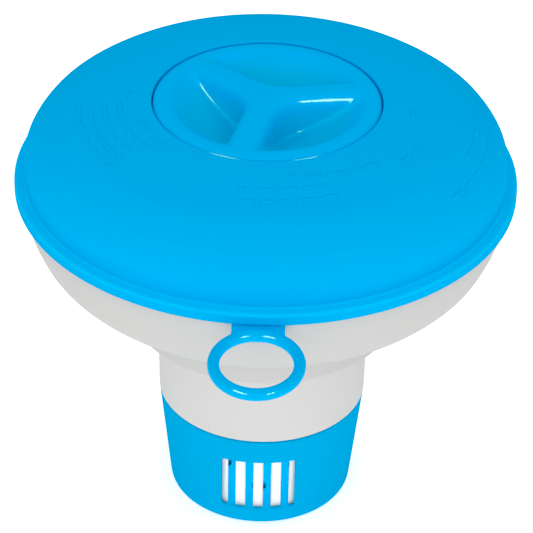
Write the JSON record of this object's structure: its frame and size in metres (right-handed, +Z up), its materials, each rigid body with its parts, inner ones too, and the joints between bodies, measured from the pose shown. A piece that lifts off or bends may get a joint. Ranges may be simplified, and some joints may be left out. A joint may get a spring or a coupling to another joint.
{
  "type": "floating chlorine dispenser",
  "caption": "Floating pool tablet dispenser: domed blue float over a white bowl, slotted tablet tube, twist-lock cap with finger wells, turning regulator cup and tether eye.",
  "frame": {"origin": "centre of the flat base of the regulator cup, on the dispenser's vertical axis", "axes": "+Z up along the dispenser's axis, -Y towards the tether eye"},
  "size_m": [0.178, 0.2152, 0.1656],
  "materials": {
    "blue_plastic": "glossy moulded polypropylene, sky blue",
    "white_plastic": "satin moulded polypropylene, cool white",
    "seal_rubber": "matt dark grey elastomer"
  },
  "bodies": {
    "float": {"top_float_shell": "blue_plastic", "float_seam_gasket": "seal_rubber", "bottom_float_shell": "white_plastic", "tablet_tube": "white_plastic", "upper_tube_seal": "seal_rubber", "lower_tube_seal": "seal_rubber", "regulator_drag_ring": "seal_rubber"},
    "seal": {"cap_seal": "seal_rubber"},
    "cap": {"locking_cap": "blue_plastic"},
    "regulator": {"regulator_cup": "blue_plastic"}
  },
  "joints": [
    {"name": "cap_lift", "type": "slide", "parent": "float", "child": "seal", "axis": [0, 0, 1], "range_m": [0, 0.06]},
    {"name": "cap_turn", "type": "hinge", "parent": "seal", "child": "cap", "pos_m": [0, 0, 0.16], "axis": [0, 0, 1], "range_deg": [-40, 0]},
    {"name": "regulator_turn", "type": "hinge", "parent": "float", "child": "regulator", "pos_m": [0, 0, 0.02], "axis": [0, 0, 1], "range_deg": [0, 60]}
  ]
}
